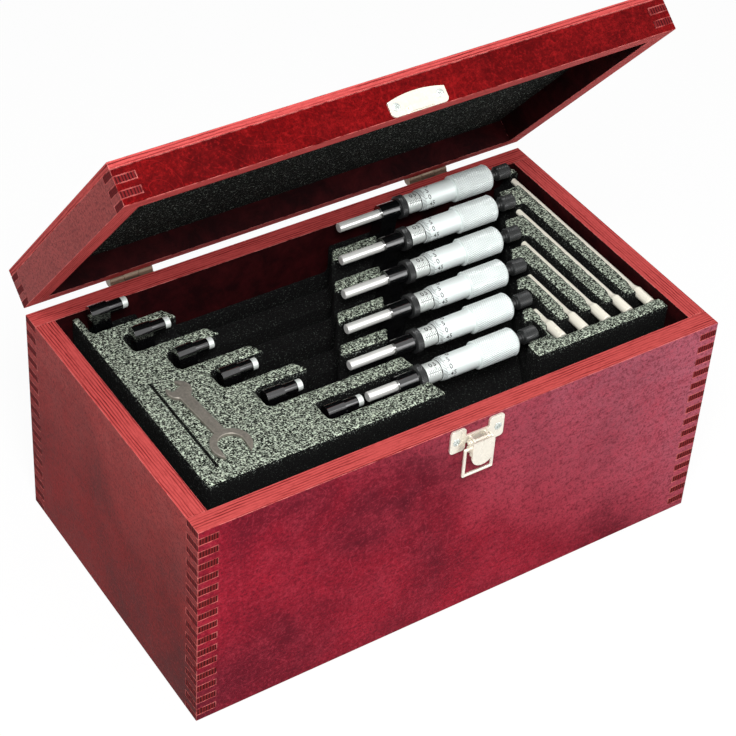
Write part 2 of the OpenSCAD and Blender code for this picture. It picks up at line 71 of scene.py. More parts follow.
CAMERA_AT = (-0.50504, -0.69999, 0.84631)
CAMERA_TURN = (50.920, -3.252, -32.836)
CAMERA_LENS, CAMERA_SENSOR = 106.52, 36
CAMERA_SHIFT = -0.1
LIGHT_AIM = (0, 0, 0.1)
WORLD_LIGHT, WORLD_SEEN = 0.3, 1.0
FLOOR_HALF, FLOOR_GAP, FLOOR_SEEN = 6, 0.2 * MM, 0.93


def make_camera():
    data = bpy.data.cameras.new("camera")
    data.lens, data.sensor_width = CAMERA_LENS, CAMERA_SENSOR
    data.shift_y = CAMERA_SHIFT
    data.clip_start, data.clip_end = 0.05, 20
    cam = bpy.data.objects.new("camera", data)
    cam.location = CAMERA_AT
    cam.rotation_euler = [math.radians(a) for a in CAMERA_TURN]
    bpy.context.scene.collection.objects.link(cam)
    bpy.context.scene.camera = cam
    bpy.context.scene.view_settings.view_transform = "Standard"


def area_light(name, at, size, power):
    data = bpy.data.lights.new(name, "AREA")
    data.shape, data.size, data.size_y = "RECTANGLE", size[0], size[1]
    data.energy = power
    lamp = bpy.data.objects.new(name, data)
    lamp.location = at
    lamp.rotation_euler = (Vector(LIGHT_AIM) - Vector(at)).to_track_quat("-Z", "Y").to_euler()
    bpy.context.scene.collection.objects.link(lamp)


class Shader:
    """A small helper that adds nodes to one material and joins them."""

    def __init__(self, name):
        self.mat = bpy.data.materials.new(name)
        self.mat.use_nodes = True
        self.tree = self.mat.node_tree
        self.bsdf = self.tree.nodes["Principled BSDF"]

    def node(self, kind, **settings):
        n = self.tree.nodes.new(kind)
        for key, value in settings.items():
            setattr(n, key, value)
        return n

    def put(self, socket, value):
        if isinstance(value, bpy.types.NodeSocket):
            self.tree.links.new(value, socket)
        elif value is not None:
            if isinstance(value, tuple) and len(value) == 3 and len(socket.default_value) == 4:
                value = (*value, 1)
            socket.default_value = value

    def math(self, op, a, b=None):
        n = self.node("ShaderNodeMath", operation=op)
        for socket, value in zip(n.inputs, (a, b)):
            self.put(socket, value)
        return n.outputs[0]

    def mix(self, amount, a, b):
        n = self.node("ShaderNodeMix", data_type="RGBA")
        self.put(n.inputs["Factor"], amount)
        self.put(n.inputs["A"], a)
        self.put(n.inputs["B"], b)
        return n.outputs["Result"]

    def place(self):
        return self.node("ShaderNodeTexCoord").outputs["Object"]

    def facing(self):
        return self.node("ShaderNodeTexCoord").outputs["Normal"]

    def split(self, vector):
        n = self.node("ShaderNodeSeparateXYZ")
        self.put(n.inputs[0], vector)
        return n.outputs

    def stretch(self, vector, scale):
        n = self.node("ShaderNodeVectorMath", operation="MULTIPLY")
        self.put(n.inputs[0], vector)
        n.inputs[1].default_value = scale
        return n.outputs[0]

    def noise(self, vector, scale, detail=3, rough=0.55, distortion=0):
        n = self.node("ShaderNodeTexNoise")
        self.put(n.inputs["Vector"], vector)
        self.put(n.inputs["Scale"], scale)
        n.inputs["Detail"].default_value = detail
        n.inputs["Roughness"].default_value = rough
        n.inputs["Distortion"].default_value = distortion
        return n.outputs["Fac"]

    def ramp(self, value, low, high, a=0.0, b=1.0):
        n = self.node("ShaderNodeMapRange", clamp=True)
        for socket, v in zip(n.inputs, (value, low, high, a, b)):
            self.put(socket, v)
        return n.outputs[0]

    def bump(self, height, strength, distance):
        n = self.node("ShaderNodeBump")
        self.put(n.inputs["Height"], height)
        n.inputs["Strength"].default_value = strength
        n.inputs["Distance"].default_value = distance
        self.put(self.bsdf.inputs["Normal"], n.outputs[0])

    def look(self, colour=None, rough=None, metal=None, coat=None, coat_rough=None, spec=None):
        names = {"Base Color": colour, "Roughness": rough, "Metallic": metal, "Coat Weight": coat,
                 "Coat Roughness": coat_rough, "Specular IOR Level": spec}
        for name, value in names.items():
            self.put(self.bsdf.inputs[name], value)
        return self.mat


def srgb(r, g, b):
    """A colour as seen, 0 to 255, as the linear value that a shader wants."""
    return tuple(v / 12.92 if v <= 0.04045 else ((v + 0.055) / 1.055) ** 2.4
                 for v in (r / 255, g / 255, b / 255))


# Materials

PLY_PAIR = 1.55 * MM


def stretched(axis, on_axis, elsewhere=1.0):
    """Three scales, of which the one on an axis differs."""
    return tuple(on_axis if i == axis else elsewhere for i in range(3))


def veneer(s, p, xyz, thick_axis, colours, painted_light_tint, slope):
    """Stained veneer: blotches, grain and pores, and a tint of painted light. Also gives the textures that
    its bump needs.
    """
    base, dark, pale = colours
    along = 1 if thick_axis == 0 else 0
    blotch = s.noise(p, 11, 4, 0.6, 0.6)
    mottle = s.noise(p, 60, 5, 0.7, 0.3)
    speck = s.noise(p, 1300, 2, 0.6)
    pores = s.noise(p, 620, 3, 0.7)
    grain = s.noise(s.stretch(p, stretched(along, 0.12)), 620, 4, 0.65, 0.4)
    rings = s.noise(s.stretch(p, stretched(along, 0.56)), 14, 2, 0.4, 1.5)
    ring_wave = s.math("ABSOLUTE", s.math("SINE", s.math("MULTIPLY", rings, 60)))
    face = s.mix(s.ramp(blotch, 0.34, 0.64), dark, base)
    # Painted light: a tint comes in across the face along slope, in blotches, standing in for the sheen of
    # the light on it.
    light_rise = s.math("ADD", s.math("MULTIPLY", xyz[0], slope[0]), s.math("MULTIPLY", xyz[2], slope[1]))
    light_rise = s.math("ADD", light_rise, s.math("MULTIPLY", s.math("SUBTRACT", blotch, 0.5), 0.9))
    face = s.mix(s.ramp(light_rise, slope[2], slope[3]), face, painted_light_tint)
    face = s.mix(s.ramp(mottle, 0.44, 0.72, 0, 0.35), face, pale)
    face = s.mix(s.ramp(grain, 0.5, 0.72, 0, 0.4), face, dark)
    face = s.mix(s.ramp(speck, 0.52, 0.68, 0, 0.6), face, dark)
    face = s.mix(s.ramp(pores, 0.5, 0.64, 0, 0.6), face, dark)
    face = s.mix(s.ramp(pores, 0.44, 0.36, 0, 0.3), face, pale)
    return s.mix(s.ramp(ring_wave, 0.0, 0.06, 0.35, 0), face, pale), mottle, grain, speck


def plies(s, p, xyz, nxyz, thick_axis):
    """The bare edge of a board: irregular lines of pale and dark plies, and end grain where it
    stands upright."""
    ply = s.math("MULTIPLY", xyz[thick_axis], TAU / PLY_PAIR)
    wobble = s.noise(s.stretch(p, stretched(thick_axis, 1.0, 0.2)), 240, 3)
    line = s.math("SINE", s.math("ADD", ply, s.math("MULTIPLY", wobble, 6.5)))
    faint = s.noise(s.stretch(p, stretched(thick_axis, 1.0, 0.06)), 420, 2)
    dark_line = s.math("MULTIPLY", s.ramp(line, 0.0, 0.95), s.ramp(faint, 0.38, 0.62, 0.15, 1))
    edge = s.mix(dark_line, srgb(182, 74, 72), srgb(92, 18, 20))
    fibre = s.noise(s.stretch(p, stretched(thick_axis, 1.0, 0.15)), 1900, 3, 0.7)
    edge = s.mix(s.ramp(fibre, 0.45, 0.75, 0, 0.5), edge, srgb(96, 20, 22))
    if thick_axis == 2:
        return edge
    end_grain = s.mix(s.ramp(line, -0.2, 0.8), srgb(104, 26, 28), srgb(48, 10, 13))
    return s.mix(s.ramp(s.math("ABSOLUTE", nxyz[2]), 0.6, 0.8), end_grain, edge)


def stained_plywood(name, thick_axis, inward, colours, painted_light_tint, slope):
    """Stained veneer on the faces, bare plies on the edges. thick_axis is 0, 1 or 2, inward is the
    sign of the inside face's normal along it, and the inside faces are painted dark as painted shade.
    painted_light_tint is a colour of painted light that comes in along slope, which holds two weights
    for x and z and the two levels between which it rises."""
    s = Shader(name)
    p = s.place()
    xyz, nxyz = s.split(p), s.split(s.facing())
    face, mottle, grain, speck = veneer(s, p, xyz, thick_axis, colours, painted_light_tint, slope)
    # Painted shade: the faces that look into the case are painted near black, standing in for the shade of
    # the lid in there.
    inside = s.mix(s.ramp(mottle, 0.4, 0.7), srgb(28, 8, 10), srgb(54, 14, 16))
    face = s.mix(s.ramp(s.math("MULTIPLY", nxyz[thick_axis], inward), 0.6, 0.8), face, inside)
    flat = s.ramp(s.math("ABSOLUTE", nxyz[thick_axis]), 0.6, 0.8)
    colour = s.mix(flat, plies(s, p, xyz, nxyz, thick_axis), face)
    sizes = [s.math("ABSOLUTE", n) for n in nxyz]
    square = s.math("MAXIMUM", s.math("MAXIMUM", sizes[0], sizes[1]), sizes[2])
    worn = s.math("MULTIPLY", s.ramp(square, 0.9, 0.98, 1, 0), s.ramp(s.noise(p, 240, 3), 0.36, 0.6))
    colour = s.mix(s.math("MULTIPLY", worn, 0.6), colour, srgb(222, 128, 122))
    s.bump(s.math("ADD", s.math("MULTIPLY", grain, 0.6), speck), 0.25, 0.4 * MM)
    rough = s.math("ADD", s.math("MULTIPLY", mottle, 0.2), s.mix(flat, (0.55,) * 3, (0.36,) * 3))
    return s.look(colour, rough, 0, spec=0.03)


def speckled_foam(name, lit_from, lit_at):
    """Black cellular foam: painted highlights on its grains on top, painted shade on its sides and in the
    wells.
    """
    s = Shader(name)
    p = s.place()
    nz = s.split(s.facing())[2]
    z = s.split(p)[2]
    turned = s.node("ShaderNodeVectorRotate", rotation_type="Z_AXIS")
    s.put(turned.inputs["Vector"], p)
    turned.inputs["Angle"].default_value = 0.5
    grain = s.noise(s.stretch(turned.outputs[0], (0.62, 1.25, 1.0)), 1500, 3, 0.75)
    cluster = s.noise(p, 480, 2, 0.5)
    both = s.math("ADD", grain, s.math("MULTIPLY", s.math("SUBTRACT", cluster, 0.5), 0.3))
    # Painted highlights: the grains that catch the light on top are painted near white.
    lit = s.ramp(both, 0.5, 0.59)
    top = s.mix(lit, srgb(10, 14, 10), srgb(208, 220, 200))
    sparse = s.ramp(s.noise(p, 1250, 2, 0.6), 0.61, 0.68)
    # Painted shade: the sides get dimmer, sparser specks, and below lit_from the foam fades to near black in
    # the wells.
    side = s.mix(sparse, srgb(5, 6, 5), srgb(150, 158, 150))
    deep = s.mix(sparse, srgb(3, 3, 3), srgb(60, 64, 60))
    height = s.ramp(z, lit_from, lit_at)
    colour = s.mix(s.ramp(nz, 0.45, 0.8), side, top)
    colour = s.mix(height, deep, colour)
    s.bump(both, 0.9, 0.6 * MM)
    return s.look(colour, 0.95, 0, spec=0.15)


def lid_foam(name):
    """The same foam seen from below, in the lid's shade."""
    s = Shader(name)
    p = s.place()
    grain = s.noise(p, 950, 3, 0.65)
    sparse = s.ramp(grain, 0.6, 0.68)
    colour = s.mix(sparse, srgb(9, 11, 10), srgb(150, 160, 150))
    s.bump(grain, 0.9, 0.6 * MM)
    return s.look(colour, 0.95, 0, spec=0.1)


def metal(name, colour, rough, bump, metallic, scale=900, stretch=(1, 1, 1), variation=0.06, grime=0.0):
    """Metal with a fine grain; grime is how dark the valleys of a knurl are painted, for dirt and painted
    shade.
    """
    s = Shader(name)
    p = s.stretch(s.place(), stretch)
    n = s.noise(p, scale, 3, 0.6)
    shade = s.mix(s.ramp(n, 0.3, 0.7, 0, 1), tuple(c * (1 - variation * 2) for c in colour), colour)
    if grime:
        valley = s.node("ShaderNodeAttribute", attribute_name="valley").outputs["Fac"]
        # Dirt and painted shade: the knurl's valleys are painted dark.
        shade = s.mix(s.math("MULTIPLY", s.ramp(valley, 0.35, 0.9), grime), shade, srgb(40, 42, 42))
    smear = s.noise(s.place(), 60, 3, 0.5)
    s.bump(n, bump, 0.2 * MM)
    return s.look(shade, s.ramp(smear, 0.3, 0.7, rough * 0.8, rough * 1.25), metallic)


def black_gloss(name):
    s = Shader(name)
    p = s.place()
    peel = s.noise(p, 700, 2, 0.5)
    dust = s.ramp(s.noise(p, 2600, 2, 0.6), 0.66, 0.78)
    s.bump(peel, 0.08, 0.3 * MM)
    colour = s.mix(dust, srgb(7, 7, 8), srgb(34, 35, 35))
    return s.look(colour, 0.14, 0, 1.0, 0.05, spec=0.8)


def plain_wood(name):
    s = Shader(name)
    p = s.place()
    grain = s.noise(s.stretch(p, (0.1, 1, 1)), 300, 4, 0.6, 0.5)
    colour = s.mix(s.ramp(grain, 0.35, 0.7), srgb(176, 136, 96), srgb(206, 170, 126))
    s.bump(grain, 0.2, 0.3 * MM)
    return s.look(colour, 0.6, 0)


# Ink for the scales, also used for the painted shadow ring at the thimble's edge.
def ink(name):
    s = Shader(name)
    n = s.noise(s.place(), 3000, 2)
    return s.look(s.mix(n, srgb(18, 18, 20), srgb(40, 40, 42)), 0.5, 0)


FOAM_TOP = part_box("foam_tray")[1].z

# Stains, each a base, a dark and a pale colour, then tints of painted light and where they come in
# Painted light and shade, in part: each kind of face has a stain of its own, set to its colour as it is lit,
# so the front, the sides, the rails and the lid differ partly by how the light falls on them.
CRIMSON = (srgb(138, 20, 38), srgb(78, 10, 25), srgb(162, 50, 66))
RUSSET = (srgb(120, 10, 12), srgb(74, 7, 10), srgb(144, 34, 34))
SCARLET = (srgb(106, 4, 6), srgb(60, 3, 5), srgb(152, 24, 26))
ROSE = (srgb(104, 40, 40), srgb(70, 22, 24), srgb(142, 78, 74))
MAUVE_LIGHT_TINT, ROSY_LIGHT_TINT, WARM_LIGHT_TINT = srgb(158, 84, 98), srgb(160, 68, 66), srgb(98, 14, 16)
FRONT_LIGHT_TINT = (4.5, 6.0, 0.4, 1.35)
SIDE_LIGHT_TINT = (0.0, 9.0, 0.5, 1.5)
LID_LIGHT_TINT = (2.0, 0.0, -0.2, 0.8)

MATS = {
    "wall_front": stained_plywood("stained_front", 1, 1, CRIMSON, MAUVE_LIGHT_TINT, FRONT_LIGHT_TINT),
    "wall_back": stained_plywood("stained_back", 1, -1, CRIMSON, MAUVE_LIGHT_TINT, FRONT_LIGHT_TINT),
    "wall_left": stained_plywood("stained_left", 0, 1, RUSSET, ROSY_LIGHT_TINT, SIDE_LIGHT_TINT),
    "wall_right": stained_plywood("stained_right", 0, -1, RUSSET, ROSY_LIGHT_TINT, SIDE_LIGHT_TINT),
    "rail_front": stained_plywood("stained_rail_front", 1, 1, SCARLET, WARM_LIGHT_TINT, LID_LIGHT_TINT),
    "rail_back": stained_plywood("stained_rail_back", 1, -1, SCARLET, WARM_LIGHT_TINT, LID_LIGHT_TINT),
    "rail_left": stained_plywood("stained_rail_left", 0, 1, ROSE, ROSY_LIGHT_TINT, SIDE_LIGHT_TINT),
    "rail_right": stained_plywood("stained_rail_right", 0, -1, ROSE, ROSY_LIGHT_TINT, SIDE_LIGHT_TINT),
    "lid_top": stained_plywood("stained_lid_top", 2, -1, SCARLET, WARM_LIGHT_TINT, LID_LIGHT_TINT),
    "floor": plain_wood("bare_bottom"),
    "foam": speckled_foam("speckled_foam", FOAM_TOP - 5 * MM, FOAM_TOP - 1.2 * MM),
    "lid_foam": lid_foam("speckled_foam_lid"),
    "nickel": metal("bright_nickel", srgb(232, 226, 212), 0.26, 0.05, 0.5, 500),
    # Painted shade: the hinges' nickel is darkened and browned to stand in for the shade and dark reflections
    # at the back rail.
    "hinge": metal("shaded_nickel", srgb(122, 104, 88), 0.4, 0.1, 0.6, 500),
    "screw": metal("screw_steel", srgb(206, 212, 208), 0.25, 0.05, 0.7),
    "enamel": black_gloss("black_enamel"),
    "satin": metal("satin_chrome", srgb(232, 240, 238), 0.36, 0.05, 0.2, 2600, variation=0.03, grime=0.4),
    "sleeve": metal("sleeve_chrome", srgb(226, 232, 228), 0.28, 0.05, 0.4, 2600, variation=0.03),
    "ground": metal("ground_steel", srgb(248, 248, 244), 0.2, 0.1, 0.5, 1800, (0.06, 1, 1)),
    "ground_rod": metal("ground_rods", srgb(240, 236, 220), 0.3, 0.12, 0.15, 1800, (1, 0.06, 1)),
    "black_steel": metal("black_steel", srgb(52, 53, 53), 0.34, 0.08, 0.5, 1500),
    "tool": metal("tool_steel", srgb(156, 150, 140), 0.42, 0.2, 0.6, 700, variation=0.16),
    "ink": ink("engraved_ink_and_shadow"),
}


# Mesh helpers

SHARP, SHARP_FINE = 32, 24
WELD = 0.002 * MM


def new_piece(name, bm, mat, body, replaces=(), matrix=None):
    """Turns a bmesh into a piece that rides on a body."""
    bmesh.ops.recalc_face_normals(bm, faces=bm.faces)
    mesh = bpy.data.meshes.new(name)
    bm.to_mesh(mesh)
    bm.free()
    obj = bpy.data.objects.new(name, mesh)
    bpy.context.scene.collection.objects.link(obj)
    if matrix is not None:
        obj.matrix_world = matrix
    mesh.materials.append(MATS[mat])
    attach(obj, body)
    if replaces:
        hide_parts(*replaces)
    return obj


def bevel(obj, width, segments=2, angle=30):
    m = obj.modifiers.new("edges", "BEVEL")
    m.width, m.segments, m.limit_method = width, segments, "ANGLE"
    m.angle_limit = math.radians(angle)


def paint(node, mat):
    """Gives a CAD node that shows as it is a material."""
    materials = NODES[node].data.materials
    materials.clear()
    materials.append(MATS[mat])


def extrude_outline(points, axis, lo, hi):
    """A prism: points are (u, v) pairs on the plane square to axis, from lo to hi along it."""
    bm = bmesh.new()
    others = [i for i in range(3) if i != axis]
    rings = []
    for level in (lo, hi):
        ring = []
        for u, v in points:
            co = [0, 0, 0]
            co[axis], co[others[0]], co[others[1]] = level, u, v
            ring.append(bm.verts.new(co))
        rings.append(ring)
    bm.faces.new(rings[0])
    bm.faces.new(list(reversed(rings[1])))
    n = len(points)
    for i in range(n):
        j = (i + 1) % n
        bm.faces.new((rings[0][i], rings[1][i], rings[1][j], rings[0][j]))
    return bm


def soften(node, name, mat, body, width, segments=2):
    """A copy of a CAD node with its edges rounded, which stands for the node."""
    bm = bmesh.new()
    bm.from_mesh(NODES[node].data)
    bmesh.ops.remove_doubles(bm, verts=bm.verts, dist=WELD)
    bmesh.ops.dissolve_limit(bm, angle_limit=math.radians(1), verts=bm.verts, edges=bm.edges)
    obj = new_piece(name, bm, mat, body, (node,))
    bevel(obj, width, segments, SHARP)
    finish_smooth(obj)


def finish_smooth(obj, angle=SHARP):
    obj.data.shade_smooth()
    obj.data.set_sharp_from_angle(angle=math.radians(angle))


def knurl_height(x, turn, count, pitch):
    """Height from 0 to 1 of a diamond knurl at a place along the axis and round it."""
    a = abs(2 * ((turn * count + x / pitch) % 1) - 1)
    b = abs(2 * ((turn * count - x / pitch) % 1) - 1)
    return min(a, b)


def lathe(bm, profile, centre, segments=64, loop=False):
    """A solid of revolution about X; profile lists (x, radius, knurl), where knurl is None or a
    depth and a count, from end to end, and a loop joins its last ring to its first. The valleys of
    the knurl are kept as an attribute, which the metal darkens as dirt and painted shade."""
    layer = bm.verts.layers.float.get("valley") or bm.verts.layers.float.new("valley")
    rings = []
    for x, r, knurl in profile:
        ring = []
        for i in range(segments):
            depth, count = knurl or (0, 1)
            valley = 1 - knurl_height(x, i / segments, count, TAU * r / count) if knurl else 0
            radius = r - depth * valley
            a = TAU * i / segments
            vert = bm.verts.new((x, centre[0] + radius * math.cos(a), centre[1] + radius * math.sin(a)))
            vert[layer] = valley
            ring.append(vert)
        rings.append(ring)
    pairs = list(zip(rings, rings[1:]))
    if loop:
        pairs.append((rings[-1], rings[0]))
    for a, b in pairs:
        for i in range(segments):
            j = (i + 1) % segments
            bm.faces.new((a[i], a[j], b[j], b[i]))
    if not loop:
        bm.faces.new(rings[0])
        bm.faces.new(rings[-1])


def plain(*points):
    """Profile points without a knurl."""
    return [(x, r, None) for x, r in points]


def knurled(x0, x1, r, knurl, step):
    """Profile points under a knurl, which is a depth and a count."""
    n = max(2, round((x1 - x0) / step))
    return [(x0 + (x1 - x0) * i / n, r, knurl) for i in range(n + 1)]


# The wooden shell

HINGE_AT = Vector(JOINTS["lid_hinge"]["pos_m"])
OPEN_ANGLE = -math.radians(JOINTS["lid_hinge"]["range_deg"][0])
LID = Matrix.Translation(HINGE_AT) @ Matrix.Rotation(-OPEN_ANGLE, 4, "X") @ Matrix.Translation(-HINGE_AT)
SHUT = LID.inverted()
BASE_FINGERS, LID_FINGERS = 31, 5
BOARD_EDGE, PANEL_EDGE = 0.28 * MM, 0.5 * MM


def box_of(places):
    lo = Vector([min(c[i] for c in places) for i in range(3)])
    return lo, Vector([max(c[i] for c in places) for i in range(3)])


def shut_box(node):
    """A lid node's box with the lid shut."""
    return box_of([SHUT @ v.co for v in NODES[node].data.vertices])


def finger_outline(u_short, u_long, z0, z1, count, long_first):
    """Outline of a wall whose ends step in and out; with long_first the outer fingers stand out."""
    step = (z1 - z0) / count
    right = []
    for i in range(count):
        out = (i % 2 == 0) == long_first
        u = u_long if out else u_short
        right += [(u, z0 + i * step), (u, z0 + (i + 1) * step)]
    return right + [(-u, z) for u, z in reversed(right)]


def wall_piece(name, node, axis, box, u_short, u_long, count, mat, body, matrix=None):
    """A board with finger joints, which stands for a wall; those that face along Y have the outer fingers."""
    lo, hi = box
    points = finger_outline(u_short, u_long, lo.z, hi.z, count, axis == 1)
    bm = extrude_outline(points, axis, lo[axis], hi[axis])
    obj = new_piece(name, bm, mat, body, (node,), matrix)
    bevel(obj, BOARD_EDGE)


def make_shell():
    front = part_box("base_front")
    half_w, half_d = front[1].x, -front[0].y
    wall = front[1].y - front[0].y
    in_x, in_y = half_w - wall, half_d - wall
    walls = (("front", 1, in_x, half_w), ("back", 1, in_x, half_w),
             ("left", 0, in_y, half_d), ("right", 0, in_y, half_d))
    for side, axis, u_short, u_long in walls:
        wall_piece(f"panel_{side}", f"base_{side}", axis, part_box(f"base_{side}"), u_short, u_long,
                   BASE_FINGERS, f"wall_{side}", "base")
        wall_piece(f"lid_rail_{side}", f"lid_{side}", axis, shut_box(f"lid_{side}"), u_short, u_long,
                   LID_FINGERS, f"rail_{side}", "lid", LID)
    lo, hi = shut_box("lid_top")
    bm = extrude_outline([(lo.x, lo.y), (hi.x, lo.y), (hi.x, hi.y), (lo.x, hi.y)], 2, lo.z, hi.z)
    top = new_piece("lid_panel", bm, "lid_top", "lid", ("lid_top",), LID)
    bevel(top, PANEL_EDGE, 3)
    paint("base_floor", "floor")


# Foam

CELL, CELL_QUICK, TORN = 1.6 * MM, 2.5 * MM, 0.12 * MM
SLIT_IN, SLIT_W, SLIT_DEPTH, SLIT_OVER = 10 * MM, 1.6 * MM, 25 * MM, 2 * MM
SLIT_FRONT, SLIT_BACK = -54 * MM, 14 * MM


def settle(obj):
    """Puts an object's modifiers into its mesh."""
    bpy.context.view_layer.update()
    mesh = bpy.data.meshes.new_from_object(obj.evaluated_get(bpy.context.evaluated_depsgraph_get()))
    obj.modifiers.clear()
    obj.data = mesh


def roughen(obj, seed):
    """Remeshes a piece and pushes its skin in like torn cells."""
    m = obj.modifiers.new("cells", "REMESH")
    m.mode, m.voxel_size, m.adaptivity = "VOXEL", CELL, 0
    settle(obj)
    mesh = obj.data
    co = np.zeros(len(mesh.vertices) * 3)
    no = np.zeros(len(mesh.vertices) * 3)
    mesh.vertices.foreach_get("co", co)
    mesh.vertices.foreach_get("normal", no)
    co, no = co.reshape(-1, 3), no.reshape(-1, 3)
    push = -np.abs(np.random.default_rng(seed).normal(0, TORN, len(co)))
    mesh.vertices.foreach_set("co", (co + no * push[:, None]).ravel())
    mesh.update()


def foam_piece(name, node, mat, body, seed):
    bm = bmesh.new()
    bm.from_mesh(NODES[node].data)
    bmesh.ops.remove_doubles(bm, verts=bm.verts, dist=0.01 * MM)
    obj = new_piece(name, bm, mat, body, (node,))
    roughen(obj, seed)
    obj.data.materials.clear()
    obj.data.materials.append(MATS[mat])
    return obj


def cut_slit(obj, lo, hi):
    """Cuts a narrow slit that the remesh can't hold."""
    bm = bmesh.new()
    bmesh.ops.create_cube(bm, size=1)
    size, mid = hi - lo, (hi + lo) / 2
    for v in bm.verts:
        v.co = Vector([mid[i] + v.co[i] * size[i] for i in range(3)])
    mesh = bpy.data.meshes.new("knife")
    bm.to_mesh(mesh)
    bm.free()
    knife = bpy.data.objects.new("knife", mesh)
    bpy.context.scene.collection.objects.link(knife)
    m = obj.modifiers.new("slit", "BOOLEAN")
    m.operation, m.object, m.solver = "DIFFERENCE", knife, "FAST"
    settle(obj)
    bpy.data.objects.remove(knife)
    bpy.data.meshes.remove(mesh)


def make_foam():
    tray = foam_piece("foam_insert", "foam_tray", "foam", "base", 3)
    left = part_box("foam_tray")[0].x + SLIT_IN
    cut_slit(tray, Vector((left, SLIT_FRONT, FOAM_TOP - SLIT_DEPTH)),
             Vector((left + SLIT_W, SLIT_BACK, FOAM_TOP + SLIT_OVER)))
    foam_piece("foam_block", "foam_base", "foam", "base", 4)
    foam_piece("lid_foam_pad", "lid_pad", "lid_foam", "lid", 5)


# Micrometers

MICS = range(1, 7)
THIMBLE_R, THIMBLE_PLAIN = 6.3 * MM, 22.6 * MM
EDGE_R, EDGE_L = 5.9 * MM, 1.4 * MM
SLEEVE_R, BORE_R, BOSS_R = 5.4 * MM, 2.7 * MM, 4.2 * MM
FREE = 0.05 * MM
GROOVE_DEEP = 0.12 * MM
ROD_R, TIP_R, TIP_L = 2.5 * MM, 3.0 * MM, 3.2 * MM
NECK_R, KNOB_L = 2.5 * MM, 8.7 * MM
BOW_EDGE = 0.45 * MM

# Knurls, each a depth and a count
GRIP_KNURL, RING_KNURL, KNOB_KNURL = (0.4 * MM, 36), (0.45 * MM, 32), (0.38 * MM, 22)
GRIP_STEP, RING_STEP = 0.26 * MM, 0.25 * MM

# Scales
DATUM = math.radians(140)
MARK_W, MARK_OUT, MARK_IN = 0.27 * MM, 0.02 * MM, 0.05 * MM
DIGIT_H, DIGIT_BOLD = 2.8 * MM, 0.05 * MM
DIVISIONS, SLEEVE_DIVISION = 50, 0.5 * MM


class Mic:
    """Places of one micrometer, read from its nodes' boxes: the centre as y and z, and for each
    round piece its left end, its right end and its radius."""

    def __init__(self, k):
        self.name = f"mic_{k}"
        parts = ("frame", "sleeve_and_anvil", "lock_ring", "spindle", "thimble", "ratchet")
        box = {p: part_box(f"{self.name}_{p}") for p in parts}
        lo, hi = box["spindle"]
        self.centre = ((lo.y + hi.y) / 2, (lo.z + hi.z) / 2)
        self.spindle, self.lock, self.thimble, self.ratchet = (
            (box[p][0].x, box[p][1].x, (box[p][1].z - box[p][0].z) / 2)
            for p in ("spindle", "lock_ring", "thimble", "ratchet"))
        self.boss_end = box["frame"][1].x
        self.anvil_start, self.sleeve_end = (box["sleeve_and_anvil"][i].x for i in (0, 1))


def anvil_face(mic):
    """Right end of the bright tip, where the left solid of the sleeve's node stops."""
    xs = [v.co.x for v in NODES[mic.name + "_sleeve_and_anvil"].data.vertices]
    return max(x for x in xs if x < mic.spindle[0])


def mic_piece(mic, ending, bm, mat, body="", node="", angle=SHARP_FINE):
    """Finishes a round piece, which rides on one of the micrometer's bodies and stands for a node."""
    obj = new_piece(mic.name + ending, bm, mat, mic.name + body, (mic.name + node,))
    finish_smooth(obj, angle)


def mic_thimble(mic):
    x0, x1, grip_r = mic.thimble
    grip_x = x0 + THIMBLE_PLAIN
    bore, bore_end, groove_r = SLEEVE_R + FREE, x1 - 6 * MM, THIMBLE_R - GROOVE_DEEP
    profile = plain((x0, bore), (x0, EDGE_R - 0.1 * MM), (x0 + 0.1 * MM, EDGE_R),
                    (x0 + EDGE_L, THIMBLE_R), (grip_x - 1.5 * MM, THIMBLE_R),
                    (grip_x - 1.4 * MM, groove_r), (grip_x - 1.1 * MM, groove_r),
                    (grip_x - 1.0 * MM, THIMBLE_R), (grip_x - 0.05 * MM, THIMBLE_R),
                    (grip_x, THIMBLE_R + 0.1 * MM), (grip_x, grip_r - 0.4 * MM), (grip_x + 0.4 * MM, grip_r))
    profile += knurled(grip_x + 0.7 * MM, x1 - 2.1 * MM, grip_r, GRIP_KNURL, GRIP_STEP)
    profile += plain((x1 - 2 * MM, grip_r), (x1 - 1.2 * MM, grip_r - 0.5 * MM),
                     (x1 - 0.3 * MM, grip_r - 1.6 * MM), (x1, grip_r - 2.1 * MM), (x1, BORE_R),
                     (bore_end, BORE_R), (bore_end, bore))
    bm = bmesh.new()
    lathe(bm, profile, mic.centre, 252, True)
    mic_piece(mic, "_barrel", bm, "satin", "_thimble", "_thimble")


def mic_sleeve(mic):
    x0, face = mic.boss_end, anvil_face(mic)
    ring_end = mic.lock[1] + FREE
    bm = bmesh.new()
    lathe(bm, plain((x0, BORE_R), (x0, BOSS_R), (ring_end, BOSS_R), (ring_end, SLEEVE_R - 0.3 * MM),
                    (ring_end + 0.3 * MM, SLEEVE_R), (mic.sleeve_end, SLEEVE_R), (mic.sleeve_end, BORE_R)),
          mic.centre, 96, True)
    tip = face - TIP_L
    lathe(bm, plain((mic.anvil_start, ROD_R), (tip, ROD_R), (tip, TIP_R - 0.15 * MM),
                    (tip + 0.15 * MM, TIP_R), (face - 0.25 * MM, TIP_R), (face, TIP_R - 0.25 * MM)),
          mic.centre, 64)
    mic_piece(mic, "_barrel_and_anvil", bm, "sleeve", "", "_sleeve_and_anvil", SHARP)


